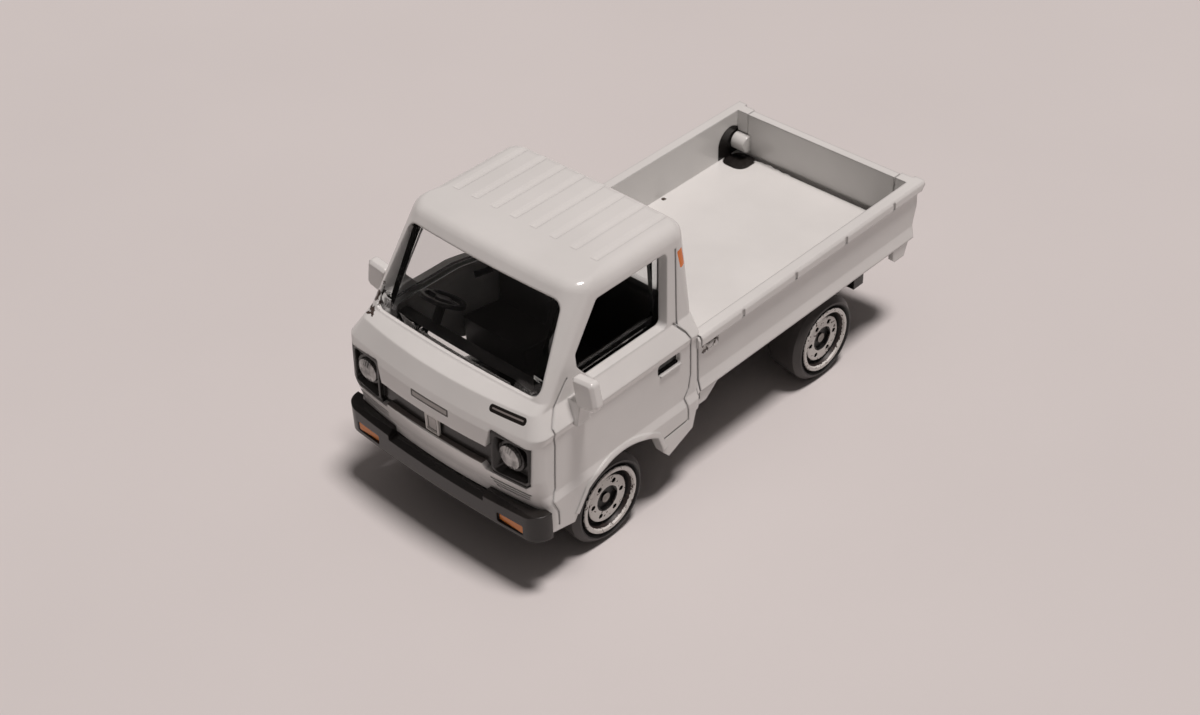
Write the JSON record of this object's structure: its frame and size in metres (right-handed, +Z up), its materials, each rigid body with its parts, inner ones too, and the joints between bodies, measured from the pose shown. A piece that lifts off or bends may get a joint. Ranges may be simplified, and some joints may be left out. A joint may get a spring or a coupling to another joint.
{
  "type": "toy kei truck",
  "caption": "Small die-cast toy pickup truck with a forward cab, open load bed, hinged tailgate and wheels that roll freely.",
  "frame": {"origin": "on the ground under the middle of the truck's box", "axes": "+Z up, the front of the truck faces -Y, the truck's left side is at +X"},
  "size_m": [0.0298, 0.0586, 0.0294],
  "materials": {
    "white_enamel": "gloss",
    "grey_plastic": "satin",
    "black_plastic": "satin",
    "clear_plastic": "gloss",
    "lamp_plastic": "gloss",
    "wheel_plastic": "satin",
    "steel_rod": "bare"
  },
  "bodies": {
    "root": {"body": "white_enamel", "window_unit": "clear_plastic", "base": "grey_plastic", "interior": "black_plastic", "steering_wheel": "black_plastic", "headlamp_left": "lamp_plastic", "headlamp_right": "lamp_plastic"},
    "front_wheelset": {"axle_front": "steel_rod", "wheel_front_left": "wheel_plastic", "wheel_front_right": "wheel_plastic"},
    "rear_wheelset": {"axle_rear": "steel_rod", "wheel_rear_left": "wheel_plastic", "wheel_rear_right": "wheel_plastic"},
    "tailgate": {"tailgate": "white_enamel"}
  },
  "joints": [
    {"name": "front_axle_spin", "type": "hinge", "parent": "root", "child": "front_wheelset", "pos_m": [0, -0.0185, 0.0047], "axis": [1, 0, 0], "continuous": true},
    {"name": "rear_axle_spin", "type": "hinge", "parent": "root", "child": "rear_wheelset", "pos_m": [0, 0.014, 0.0047], "axis": [1, 0, 0], "continuous": true},
    {"name": "tailgate_hinge", "type": "hinge", "parent": "root", "child": "tailgate", "pos_m": [0, 0.02745, 0.0133], "axis": [-1, 0, 0], "range_deg": [0, 90]}
  ]
}
